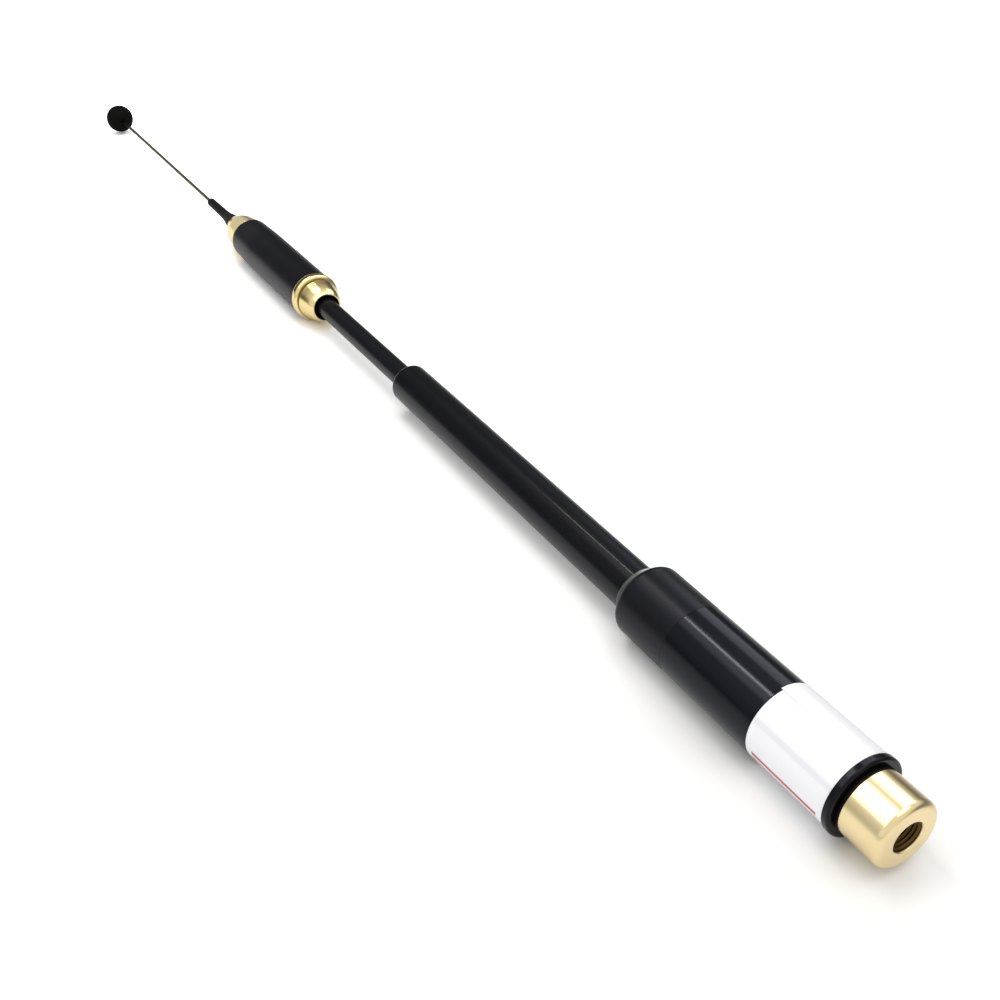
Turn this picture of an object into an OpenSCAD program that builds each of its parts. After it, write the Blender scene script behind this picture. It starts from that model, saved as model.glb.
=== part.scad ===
// Telescopic whip antenna, lying along +X.
// The connector's mouth is at the origin and the ball tip is at the +X end, with +Z up.
// All sizes are in millimetres, at the half-extended pose.

/* [Connector] */
// Outer diameter of the gold connector shell
conn_d = 13.7; // [10:0.1:14]
// Length of the shell in front of the black ring
conn_len = 9.5; // [8:0.1:14]
// Rounding of the shell's front edge
conn_edge = 1.2; // [0.2:0.1:1.4]
// Diameter of the socket wall at the thread's crests
thread_d = 5.6; // [4.8:0.1:6.2]
// Length of the threaded wall
thread_len = 5.4; // [4:0.1:6]
// Chamfer of the socket's mouth
mouth_chamfer = 0.4; // [0.1:0.05:0.6]
// Depth of the clear space behind the thread, outwards from the crests
relief_depth = 0.6; // [0.3:0.1:1.2]
// Length of the clear space behind the thread
relief_len = 2.3; // [1.5:0.1:4]
// Diameter of the white insulator's front part
insulator_d = 4.5; // [3.6:0.1:5.4]
// Length of the white insulator's front part
insulator_front = 3.6; // [2:0.1:6]
// Step from the insulator's front part to its wider back part
insulator_step = 0.8; // [0.4:0.1:1.4]
// Diameter of the pin's body
pin_d = 1.28; // [1:0.02:1.6]
// Diameter of the pin's contact tip
pin_tip_d = 0.94; // [0.7:0.02:0.98]
// How far the pin stands out of the insulator
pin_out = 1.9; // [1:0.1:2.4]
// Length of the pin's pointed end
pin_point = 0.5; // [0.2:0.1:0.8]
// How far the pin's body stands out of the insulator
pin_shoulder = 0.3; // [0:0.1:0.6]
// Length of pin inside the matching former
pin_tail = 4; // [2:0.1:6]
// Length of the connector's spigot inside the ring and the base tube
spigot_len = 10.6; // [8.6:0.1:14]

/* [Base] */
// Outer diameter of the label, the sleeve and the neck
base_d = 16; // [15.4:0.1:20]
// Thickness of the label and of the glossy sleeve
skin = 0.5; // [0.3:0.05:0.8]
// Step from the label up to the black ring
ring_rise = 0.3; // [0.1:0.05:0.9]
// Length of the black ring
ring_len = 1.6; // [1.2:0.1:4]
// Rounding of the black ring's front edge, limited by its wall and its length
ring_edge = 0.5; // [0.2:0.1:0.9]
// Length of the white label band
label_len = 19.3; // [12:0.1:30]
// Length of the glossy sleeve
gloss_len = 25.1; // [18:0.1:40]
// Length of the satin neck
neck_len = 15.6; // [12:0.1:24]
// Rounding of the neck's shoulder, limited by the flat that the ferrule sits on
neck_round = 1.5; // [0.5:0.1:2.4]
// Flat of the neck's end that shows round the ferrule
neck_land = 0.25; // [0.1:0.05:1]
// How far the base tube reaches into the neck
neck_socket = 6; // [4:0.1:8]
// Wall of the pale ferrule on the neck
ferrule_wall = 0.88; // [0.4:0.02:1.2]
// Length of the pale ferrule
ferrule_len = 1.9; // [0.8:0.1:4]
// Room round the lower tube inside the base tube
base_room = 0.77; // [0.5:0.01:1.4]

/* [Matching coil] */
// Room round the winding inside the base tube
match_room = 1.4; // [0.4:0.1:1.8]
// Depth of the copper winding on its former
match_wire = 0.9; // [0.4:0.1:1.2]
// Gap between the connector's spigot and the former
match_gap = 0.9; // [0.3:0.1:2]
// Bare former at each end of the winding
match_margin = 2.5; // [1:0.1:5]
// Length of the terminal's stem in the former
stem_len = 4.5; // [3:0.1:8]
// Diameter of the terminal's stem
stem_d = 2; // [1.4:0.1:3]
// Thickness of the terminal's flange under the lower tube's foot
terminal_flange = 2; // [1:0.1:4]
// Length of the terminal's plug in the lower tube
terminal_plug = 6; // [3:0.1:10]
// Gap between the former and the terminal's flange
terminal_gap = 0.3; // [0.1:0.1:1]

/* [Lower tube] */
// Outer diameter of the lower tube
lower_d = 10.3; // [8.2:0.1:12]
// Wall of the lower tube
lower_wall = 0.75; // [0.5:0.05:0.9]
// Length of lower tube that shows
lower_shown = 102.6; // [90:0.1:140]
// Length of lower tube inside the neck and the ferrule
lower_insert = 16; // [13:0.1:17]
// Rounding of the lower tube's rolled end, limited by its wall
lower_edge = 0.6; // [0.2:0.1:0.8]
// Flat of the lower tube's end that is left inside its rounding
rim_land = 0.15; // [0.05:0.05:0.3]
// Length of the guide bush in the lower tube's end
end_bush_len = 9; // [6:0.1:14]
// How far the guide bush sits behind the tube's end
end_bush_recess = 0.3; // [0:0.1:1]

/* [Upper tube] */
// Wall of the upper tube
upper_wall = 0.6; // [0.4:0.05:0.8]
// Length of upper tube that shows at this pose
upper_shown = 53.3; // [30:0.1:80]
// Length of upper tube inside the lower tube at this pose
upper_insert = 54; // [40:0.1:70]
// Length of the slider bush on the upper tube's foot
slider_len = 11; // [8:0.1:16]
// Thickness of the slider bush's two flanges
slider_flange = 1.3; // [0.8:0.1:2]
// Wall of the slider bush between its flanges
slider_wall = 0.76; // [0.4:0.02:0.9]
// Thickness of the split spring sleeve round the slider bush
slider_spring_t = 0.6; // [0.3:0.05:0.8]
// Width of the spring sleeve's slot
slider_slot = 0.8; // [0.4:0.1:2]

/* [Coil head] */
// Step from the coil cover up to the collar's flange
flange_step = 0.3; // [0.1:0.05:1]
// Length of the collar's flange
flange_len = 2.7; // [1.5:0.1:4]
// Length of the groove behind the flange
groove_len = 0.6; // [0.5:0.1:2]
// Depth of the groove below the nose
groove_depth = 0.6; // [0.2:0.1:1]
// Step from the flange down to the collar's nose
nose_step = 0.9; // [0.4:0.05:1.3]
// Length of the nose's straight part
nose_body = 3.1; // [0.3:0.1:6]
// Length of the nose's tapered front
nose_taper = 3.8; // [2:0.1:8]
// Wall of the nose's front lip
lip_wall = 0.5; // [0.3:0.05:1.2]
// Room round the upper tube in the collar's mouth
mouth_room = 0.95; // [0.3:0.05:1]
// Depth of the collar's mouth
mouth_depth = 3; // [1:0.1:4]
// Outer diameter of the coil cover
coil_d = 13.6; // [11.3:0.1:18]
// Step from the coil cover down to its far end
coil_draft = 0.3; // [0:0.05:0.6]
// Length of the coil cover
coil_len = 50.9; // [40:0.1:80]
// Length of the coil cover's taper at its far end
coil_taper = 12; // [4:0.1:20]
// Wall of the coil cover at its far end
coil_wall = 0.5; // [0.4:0.05:0.7]
// Length of the collar's and the cap's spigots in the cover
coil_spigot = 4; // [3:0.1:8]
// Room round the phasing winding inside the cover
phase_room = 0.58; // [0.2:0.02:1]
// Depth of the copper phasing winding
phase_wire = 1; // [0.4:0.1:1.3]
// Bare former at each end of the phasing winding
phase_margin = 2; // [1:0.1:6]

/* [Top cap and guide] */
// Step from the cover's far end down to the cap
cap_step = 0.05; // [0:0.05:0.4]
// Length of the cap's first taper
cap_body = 9; // [3:0.1:10]
// Step from the cap's foot to the end of its first taper
cap_draft = 2; // [0:0.05:3]
// Length of the cap's steeper cone
cap_cone = 5.7; // [4:0.1:20]
// Wall of the cap's small end round the guide's root
cap_lip = 0.1; // [0.1:0.05:1]
// Length of guide that shows
guide_len = 24.6; // [12:0.1:30]
// Wall of the guide after its flare
guide_wall = 0.85; // [0.5:0.025:1.2]
// Rise of the guide's flare where it leaves the cap
guide_rise = 0.7; // [0.1:0.05:1.4]
// Step from the end of the flare down to the guide's tip
guide_draft = 0.15; // [0:0.025:0.3]
// Length of the guide's flare
guide_flare = 4.5; // [2:0.1:8]
// Length of the guide's stem inside the cap
guide_stem = 6; // [3:0.1:10]

/* [Whip] */
// Diameter of the whip wire
whip_d = 1.2; // [0.8:0.1:1.4]
// Length of whip between the guide and the ball at this pose
whip_shown = 107.6; // [60:0.1:160]
// Length of whip inside the upper tube at this pose
whip_foot = 7.9; // [6.5:0.1:60]
// Length of the stop bush on the whip's foot
stop_len = 7; // [5:0.1:10]
// Thickness of the stop bush's two flanges
stop_flange = 0.8; // [0.5:0.1:1.5]
// Thickness of the split spring sleeve round the stop bush
stop_spring_t = 0.5; // [0.3:0.05:0.6]
// Width of the stop's spring slot
stop_slot = 0.5; // [0.3:0.1:1]
// Diameter of the ball tip
ball_d = 10.6; // [7:0.1:14]

/* [Clearances] */
// Radial running clearance of each piece that slides or turns
run_gap = 0.05; // [0.02:0.01:0.1]
// Radial gap of each fixed joint, filled with solder or glue
fix_gap = 0.02; // [0.01:0.01:0.05]
// End play of each spring sleeve between its flanges
end_play = 0.15; // [0.05:0.05:0.3]
// Clearance of each slider flange inside its tube
flange_gap = 0.25; // [0.15:0.05:0.4]
// Clearance of the whip in the cap's hole
wire_gap = 0.2; // [0.1:0.05:0.3]

/* [Hidden] */
$fn = 96;

// Overshoot of a cutting shape past the face that it opens
cut = 1;
// Largest share of a wall that a rounding takes
round_share = 0.6;

// Stations along X, from the connector's mouth to the tip
x_ring = conn_len;
x_label = x_ring + ring_len;
x_gloss = x_label + label_len;
x_neck = x_gloss + gloss_len;
x_ferrule = x_neck + neck_len;
x_tube = x_ferrule + ferrule_len;
x_tube_end = x_tube + lower_shown;
x_collar = x_tube_end + upper_shown;
x_groove = x_collar + nose_taper + nose_body;
x_flange = x_groove + groove_len;
x_coil = x_flange + flange_len;
x_cap = x_coil + coil_len;
x_cone = x_cap + cap_body;
x_guide = x_cone + cap_cone;
x_guide_end = x_guide + guide_len;
x_ball = x_guide_end + whip_shown + ball_d / 2;

// Connector stations
x_thread_end = mouth_chamfer + thread_len;
x_insulator = x_thread_end + relief_len;
x_insulator_step = x_insulator + insulator_front;
x_spigot_end = x_ring + spigot_len;

// Base and matching coil stations
x_base_tube_end = x_neck + neck_socket;
x_lower = x_tube - lower_insert;
x_terminal = x_lower - terminal_flange;
x_stem = x_terminal - stem_len;
x_former = x_spigot_end + match_gap;
x_former_end = x_terminal - terminal_gap;

// Base diameters, from the lower tube outwards and from the label inwards
lower_bore = lower_d - 2 * lower_wall;
ferrule_d = lower_d + 2 * fix_gap + 2 * ferrule_wall;
base_bore = lower_d + 2 * base_room;
base_tube_d = base_d - 2 * skin - 2 * fix_gap;
ring_d = base_d + 2 * ring_rise;
match_d = base_bore - 2 * match_room;
match_bore = match_d - 2 * match_wire;

// Connector diameters
spigot_d = base_bore - 2 * fix_gap;
relief_d = thread_d + 2 * relief_depth;
face_hole_d = thread_d + 2 * mouth_chamfer;
insulator_back_d = insulator_d + 2 * insulator_step;

// Roundings
conn_fillet = min(conn_edge, round_share * (conn_d - face_hole_d) / 2);
ring_fillet = min(ring_edge, round_share * (ring_d - base_bore) / 2, ring_len / 2);
neck_fillet = min(neck_round, (base_d - ferrule_d) / 2 - neck_land);
lower_fillet = min(lower_edge, lower_wall - rim_land);

// Slider stations and diameters, from the lower tube inwards
x_end_bush = x_tube_end - end_bush_recess - end_bush_len;
x_upper = x_tube_end - upper_insert;
x_slider = x_upper - slider_flange / 2;
slider_spring_d = lower_bore - 2 * run_gap;
slider_spring_bore = slider_spring_d - 2 * slider_spring_t;
slider_d = slider_spring_bore - 2 * run_gap;
upper_d = slider_d - 2 * slider_wall - 2 * fix_gap;
upper_bore = upper_d - 2 * upper_wall;

// Coil stations and diameters, from the cover inwards
x_upper_end = x_flange + flange_len / 2;
x_collar_back = x_coil + coil_spigot;
x_cap_front = x_cap - coil_spigot;
coil_end_d = coil_d - 2 * coil_draft;
cover_bore = coil_end_d - 2 * coil_wall;
coil_spigot_d = cover_bore - 2 * fix_gap;
phase_d = cover_bore - 2 * phase_room;
phase_bore = phase_d - 2 * phase_wire;

// Collar and cap diameters
flange_d = coil_d + 2 * flange_step;
nose_d = flange_d - 2 * nose_step;
groove_d = nose_d - 2 * groove_depth;
mouth_d = upper_d + 2 * mouth_room;
lip_d = mouth_d + 2 * lip_wall;
cap_d = coil_end_d - 2 * cap_step;
cap_shoulder_d = cap_d - 2 * cap_draft;
guide_bore = whip_d + 2 * run_gap;
guide_d = guide_bore + 2 * guide_wall;
guide_root_d = guide_d + 2 * guide_rise;
guide_tip_d = guide_d - 2 * guide_draft;
cap_tip_d = guide_root_d + 2 * cap_lip;

// Whip stations and diameters
x_whip = x_upper_end - whip_foot;
x_stop = x_whip - stop_flange / 2;
x_guide_stem = x_guide - guide_stem;
stop_spring_d = upper_bore - 2 * run_gap;
stop_spring_bore = stop_spring_d - 2 * stop_spring_t;

// Finishes
gold = [0.86, 0.73, 0.42];
brass = [0.78, 0.62, 0.30];
bronze = [0.66, 0.42, 0.22];
copper = [0.72, 0.35, 0.18];
satin_black = [0.11, 0.11, 0.12];
gloss_black = [0.05, 0.05, 0.06];
label_white = [0.95, 0.95, 0.96];
insulator_white = [0.92, 0.92, 0.90];
former_cream = [0.88, 0.85, 0.76];
ferrule_grey = [0.78, 0.80, 0.78];
wire_steel = [0.30, 0.31, 0.26];

// A shape drawn as radius and station, turned about the X axis
module turned() {
  rotate([0, 90, 0]) rotate_extrude() children();
}

// Outline of a straight solid stretch
module span(x0, x1, d) {
  translate([0, x0]) square([d / 2, x1 - x0]);
}

// Outline of a straight ring stretch
module ring_span(x0, x1, d_in, d_out) {
  translate([d_in / 2, x0]) square([(d_out - d_in) / 2, x1 - x0]);
}

// Outline of a tapered solid stretch
module taper(x0, x1, d0, d1) {
  polygon([[0, x0], [d0 / 2, x0], [d1 / 2, x1], [0, x1]]);
}

// Outline of a solid stretch whose corner at x0 is rounded
module rounded_foot(x0, x1, d, edge) {
  span(x0 + edge, x1, d);
  span(x0, x0 + edge, d - 2 * edge);
  translate([d / 2 - edge, x0 + edge]) circle(edge);
}

// Outline of a solid stretch whose corner at x1 is rounded
module rounded_head(x0, x1, d, edge) {
  span(x0, x1 - edge, d);
  span(x1 - edge, x1, d - 2 * edge);
  translate([d / 2 - edge, x1 - edge]) circle(edge);
}

// Straight hole along X
module hole(x0, x1, d) {
  translate([x0, 0, 0]) rotate([0, 90, 0]) cylinder(h = x1 - x0, d = d);
}

// Straight tube along X
module tube(x0, x1, d_in, d_out) {
  turned() ring_span(x0, x1, d_in, d_out);
}

// Spool with a flange at each end, for a spring sleeve
module spool(x0, length, flange, d_flange, d_body, d_bore) {
  turned() difference() {
    union() {
      span(x0, x0 + length, d_body);
      span(x0, x0 + flange, d_flange);
      span(x0 + length - flange, x0 + length, d_flange);
    }
    span(x0 - cut, x0 + length + cut, d_bore);
  }
}

// Spring sleeve with one slot along its whole length
module split_sleeve(x0, x1, d_in, d_out, slot) {
  difference() {
    tube(x0, x1, d_in, d_out);
    translate([x0 - cut, -slot / 2, 0]) cube([x1 - x0 + 2 * cut, slot, d_out]);
  }
}

module connector_shell() {
  color(gold) turned() difference() {
    union() {
      rounded_foot(0, x_ring, conn_d, conn_fillet);
      span(x_ring, x_spigot_end, spigot_d);
    }
    taper(-mouth_chamfer, mouth_chamfer, face_hole_d + 2 * mouth_chamfer, thread_d);
    span(-cut, x_thread_end + cut, thread_d);
    span(x_thread_end, x_insulator, relief_d);
    span(x_insulator - cut, x_insulator_step + cut, insulator_d + 2 * fix_gap);
    span(x_insulator_step, x_spigot_end + cut, insulator_back_d + 2 * fix_gap);
  }
}

module connector_insulator() {
  color(insulator_white) turned() difference() {
    union() {
      span(x_insulator, x_insulator_step + cut, insulator_d);
      span(x_insulator_step, x_spigot_end, insulator_back_d);
    }
    span(x_insulator - cut, x_spigot_end + cut, pin_d + 2 * fix_gap);
  }
}

module centre_pin() {
  x_tip = x_insulator - pin_out;
  color(gold) turned() {
    taper(x_tip, x_tip + pin_point, pin_tip_d / 2, pin_tip_d);
    span(x_tip + pin_point, x_insulator, pin_tip_d);
    span(x_insulator - pin_shoulder, x_former + pin_tail, pin_d);
  }
}

module end_ring() {
  color(gloss_black) turned() difference() {
    rounded_foot(x_ring, x_label, ring_d, ring_fillet);
    span(x_ring - cut, x_label + cut, base_bore);
  }
}

module base_tube() {
  color(satin_black) tube(x_label, x_base_tube_end, base_bore, base_tube_d);
}

module label_band() {
  color(label_white) tube(x_label, x_gloss, base_d - 2 * skin, base_d);
}

module gloss_sleeve() {
  color(gloss_black) tube(x_gloss, x_neck, base_d - 2 * skin, base_d);
}

module neck_cap() {
  color(satin_black) turned() difference() {
    rounded_head(x_neck, x_ferrule, base_d, neck_fillet);
    span(x_neck - cut, x_base_tube_end, base_d - 2 * skin);
    span(x_neck - cut, x_ferrule + cut, lower_d + 2 * fix_gap);
  }
}

module mouth_ferrule() {
  color(ferrule_grey) tube(x_ferrule, x_tube, lower_d + 2 * fix_gap, ferrule_d);
}

module matching_former() {
  color(former_cream) difference() {
    turned() span(x_former, x_former_end, match_bore - 2 * fix_gap);
    hole(x_former - cut, x_former + pin_tail + fix_gap, pin_d + 2 * fix_gap);
    hole(x_stem - fix_gap, x_former_end + cut, stem_d + 2 * fix_gap);
  }
}

module matching_winding() {
  color(copper)
    tube(x_former + match_margin, x_former_end - match_margin, match_bore, match_d);
}

module tube_terminal() {
  color(brass) turned() {
    span(x_stem, x_terminal, stem_d);
    span(x_terminal, x_lower, lower_d);
    span(x_lower, x_lower + terminal_plug, lower_bore - 2 * fix_gap);
  }
}

module lower_tube() {
  color(satin_black) turned() difference() {
    rounded_head(x_lower, x_tube_end, lower_d, lower_fillet);
    span(x_lower - cut, x_tube_end + cut, lower_bore);
  }
}

module tube_end_bush() {
  color(satin_black)
    tube(x_end_bush, x_end_bush + end_bush_len, upper_d + 2 * run_gap, lower_bore - 2 * fix_gap);
}

module slider_spring() {
  color(bronze) split_sleeve(x_slider + slider_flange + end_play,
    x_slider + slider_len - slider_flange - end_play, slider_spring_bore, slider_spring_d, slider_slot);
}

module slider_bush() {
  color(brass) spool(x_slider, slider_len, slider_flange, lower_bore - 2 * flange_gap,
    slider_d, upper_d + 2 * fix_gap);
}

module upper_tube() {
  color(satin_black) tube(x_upper, x_upper_end, upper_bore, upper_d);
}

module coil_collar() {
  color(gold) turned() difference() {
    union() {
      taper(x_collar, x_collar + nose_taper, lip_d, nose_d);
      span(x_collar + nose_taper, x_groove, nose_d);
      span(x_groove, x_flange, groove_d);
      span(x_flange, x_coil, flange_d);
      span(x_coil, x_collar_back, coil_spigot_d);
    }
    span(x_collar - cut, x_collar + mouth_depth, mouth_d);
    span(x_collar, x_upper_end, upper_d + 2 * fix_gap);
    span(x_upper_end - cut, x_collar_back + cut, upper_bore);
  }
}

module coil_former() {
  color(former_cream) tube(x_collar_back, x_cap_front, upper_bore, phase_bore - 2 * fix_gap);
}

module phasing_winding() {
  color(copper)
    tube(x_collar_back + phase_margin, x_cap_front - phase_margin, phase_bore, phase_d);
}

module coil_cover() {
  color(satin_black) turned() difference() {
    union() {
      span(x_coil, x_cap - coil_taper, coil_d);
      taper(x_cap - coil_taper, x_cap, coil_d, coil_end_d);
    }
    span(x_coil - cut, x_cap + cut, cover_bore);
  }
}

module coil_cap() {
  color(gold) turned() difference() {
    union() {
      span(x_cap_front, x_cap, coil_spigot_d);
      taper(x_cap, x_cone, cap_d, cap_shoulder_d);
      taper(x_cone, x_guide, cap_shoulder_d, cap_tip_d);
    }
    span(x_cap_front - cut, x_guide + cut, whip_d + 2 * wire_gap);
    span(x_guide_stem, x_guide + cut, guide_d + 2 * fix_gap);
  }
}

module whip_guide() {
  color(satin_black) turned() difference() {
    union() {
      span(x_guide_stem, x_guide, guide_d);
      taper(x_guide, x_guide + guide_flare, guide_root_d, guide_d);
      taper(x_guide + guide_flare, x_guide_end, guide_d, guide_tip_d);
    }
    span(x_guide_stem - cut, x_guide_end + cut, guide_bore);
  }
}

module whip_spring() {
  color(bronze) split_sleeve(x_stop + stop_flange + end_play,
    x_stop + stop_len - stop_flange - end_play, stop_spring_bore, stop_spring_d, stop_slot);
}

module whip_stop() {
  color(brass) spool(x_stop, stop_len, stop_flange, upper_bore - 2 * flange_gap,
    stop_spring_bore - 2 * run_gap, whip_d + 2 * fix_gap);
}

module whip_wire() {
  color(wire_steel) turned() span(x_whip, x_ball, whip_d);
}

module tip_ball() {
  color(gloss_black) difference() {
    translate([x_ball, 0, 0]) sphere(d = ball_d);
    hole(x_ball - ball_d, x_ball + fix_gap, whip_d + 2 * fix_gap);
  }
}

connector_shell();
connector_insulator();
centre_pin();
end_ring();
base_tube();
label_band();
gloss_sleeve();
neck_cap();
mouth_ferrule();
matching_former();
matching_winding();
tube_terminal();
lower_tube();
tube_end_bush();
slider_spring();
slider_bush();
upper_tube();
coil_collar();
coil_former();
phasing_winding();
coil_cover();
coil_cap();
whip_guide();
whip_spring();
whip_stop();
whip_wire();
tip_ball();
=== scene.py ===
"""Looks of a telescopic whip antenna that lies on a white table.

Almost every piece is turned about the antenna's own axis, which is X. Sizes are in millimetres and become
metres when a mesh is made. Angles round the axis run from +Y towards +Z. Places along the axis and outer
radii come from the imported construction.
"""

import logging
import math
from dataclasses import dataclass, replace
from enum import Enum

import bmesh
import bpy
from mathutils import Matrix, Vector

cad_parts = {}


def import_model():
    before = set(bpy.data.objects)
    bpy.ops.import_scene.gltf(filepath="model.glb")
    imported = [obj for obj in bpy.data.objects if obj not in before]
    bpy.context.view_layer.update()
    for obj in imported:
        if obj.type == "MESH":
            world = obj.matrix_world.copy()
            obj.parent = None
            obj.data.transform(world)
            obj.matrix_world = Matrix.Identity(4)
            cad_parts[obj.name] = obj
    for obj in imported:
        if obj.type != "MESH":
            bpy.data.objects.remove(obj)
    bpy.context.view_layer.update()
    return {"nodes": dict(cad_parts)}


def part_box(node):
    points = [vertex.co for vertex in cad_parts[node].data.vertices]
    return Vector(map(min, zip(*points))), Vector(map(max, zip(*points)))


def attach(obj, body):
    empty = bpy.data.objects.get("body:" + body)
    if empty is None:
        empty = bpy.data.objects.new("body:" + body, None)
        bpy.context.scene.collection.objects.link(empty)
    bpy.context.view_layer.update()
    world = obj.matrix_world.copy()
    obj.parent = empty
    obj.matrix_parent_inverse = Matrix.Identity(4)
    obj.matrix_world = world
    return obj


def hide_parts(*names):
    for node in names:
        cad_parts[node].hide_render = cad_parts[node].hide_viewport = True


MM = 0.001
LOG = logging.getLogger("antenna")

Colour = tuple[float, float, float]
Piece = bpy.types.Object


class Body(Enum):
    """The bodies that the new pieces ride on."""

    BASE = "base"
    COIL_SECTION = "coil_section"
    WHIP = "whip"


class Grain(Enum):
    """How a finish's fine marks run over a turned piece."""

    RINGS = "round the axis"
    STREAKS = "along the axis"
    SPECKLE = "in no direction"


def start_of(node: str) -> float:
    """Return where a node starts along the axis, in mm."""
    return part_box(node)[0].x / MM


def end_of(node: str) -> float:
    """Return where a node ends along the axis, in mm."""
    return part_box(node)[1].x / MM


def radius_of(node: str) -> float:
    """Return a node's outer radius, in mm."""
    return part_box(node)[1].y / MM


def span_of(node: str) -> tuple[float, float, float]:
    """Return where a node starts and ends along the axis, and its outer radius, in mm."""
    return start_of(node), end_of(node), radius_of(node)


class Wire:
    """An output socket of a node, on which Python's operators add Math nodes."""

    def __init__(self, nodes: "Nodes", socket: bpy.types.NodeSocket) -> None:
        """Hold a socket and the node builder that it belongs to."""
        self.nodes = nodes
        self.socket = socket

    def math(self, operation: str, *values: "Wire | float") -> "Wire":
        """Add one Math node.

        Args:
            operation: The Math node's operation.
            values: Its inputs, in order.

        Returns:
            The node's output.
        """
        return self.nodes.node("ShaderNodeMath", {"operation": operation}, dict(enumerate(values)))

    def __add__(self, other: "Wire | float") -> "Wire":
        """Return the sum."""
        return self.math("ADD", self, other)

    def __sub__(self, other: "Wire | float") -> "Wire":
        """Return the difference."""
        return self.math("SUBTRACT", self, other)

    def __rsub__(self, other: float) -> "Wire":
        """Return the difference, with the number first."""
        return self.math("SUBTRACT", other, self)

    def __mul__(self, other: "Wire | float") -> "Wire":
        """Return the product."""
        return self.math("MULTIPLY", self, other)

    def __abs__(self) -> "Wire":
        """Return the size without its sign."""
        return self.math("ABSOLUTE", self)

    __radd__ = __add__
    __rmul__ = __mul__


class Nodes:
    """Adds nodes to the tree of a material or of the world."""

    def __init__(self, tree: bpy.types.NodeTree, coordinates: str) -> None:
        """Hold a tree and the name of the coordinates that it reads."""
        self.tree = tree
        self.coordinates = coordinates

    def feed(self, socket: bpy.types.NodeSocket, value: "Wire | float | Colour") -> None:
        """Link a wire to a socket, or set the socket's own value."""
        if isinstance(value, Wire):
            self.tree.links.new(value.socket, socket)
        elif socket.type == "RGBA":
            socket.default_value = (*value, 1.0)
        else:
            socket.default_value = value

    def node(self, kind: str, settings: dict | None = None, inputs: dict | None = None,
             output: int | str = 0) -> Wire:
        """Add any node.

        Args:
            kind: The node's type.
            settings: Its properties, set first. stops are a colour ramp's places and greys.
            inputs: Values or wires for its sockets, by name or by number.
            output: The output to use, by name or by number.

        Returns:
            That output.
        """
        made = self.tree.nodes.new(kind)
        for key, value in (settings or {}).items():
            if key == "stops":
                self._set_stops(made.color_ramp, value)
            else:
                setattr(made, key, value)
        for key, value in (inputs or {}).items():
            self.feed(made.inputs[key], value)
        return Wire(self, made.outputs[output])

    @staticmethod
    def _set_stops(ramp: bpy.types.ColorRamp, stops: list[tuple[float, Colour]]) -> None:
        """Give a colour ramp its stops."""
        while len(ramp.elements) < len(stops):
            ramp.elements.new(1.0)
        for element, (place, colour) in zip(ramp.elements, stops):
            element.position = place
            element.color = (*colour, 1.0)

    def place(self) -> Wire:
        """Return the coordinates: metres on a piece, or a direction in the world."""
        return self.node("ShaderNodeTexCoord", output=self.coordinates)

    def axis(self, letter: str) -> Wire:
        """Return one of the coordinates."""
        return self.node("ShaderNodeSeparateXYZ", None, {0: self.place()}, letter)

    def mix(self, share: Wire, first: "Wire | Colour", second: "Wire | Colour") -> Wire:
        """Return a colour between two colours."""
        return self.node("ShaderNodeMix", {"data_type": "RGBA"}, {0: share, 6: first, 7: second}, 2)

    def ramp(self, value: Wire, stops: tuple[tuple[float, float], ...]) -> Wire:
        """Return a grey that follows stops of a value and a brightness."""
        greys = [(place, (grey, grey, grey)) for place, grey in stops]
        return self.node("ShaderNodeValToRGB", {"stops": greys}, {0: value})

    def step(self, value: Wire, low: float, high: float) -> Wire:
        """Return a smooth step from 0 at low to 1 at high."""
        return self.node("ShaderNodeMapRange", {"interpolation_type": "SMOOTHSTEP"},
                         {"Value": value, "From Min": low, "From Max": high})

    def band(self, value: Wire, low: float, high: float, soft: float) -> Wire:
        """Return 1 between low and high, fading to 0 over soft on each side."""
        return self.step(value, low - soft, low) * (1 - self.step(value, high, high + soft))


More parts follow.
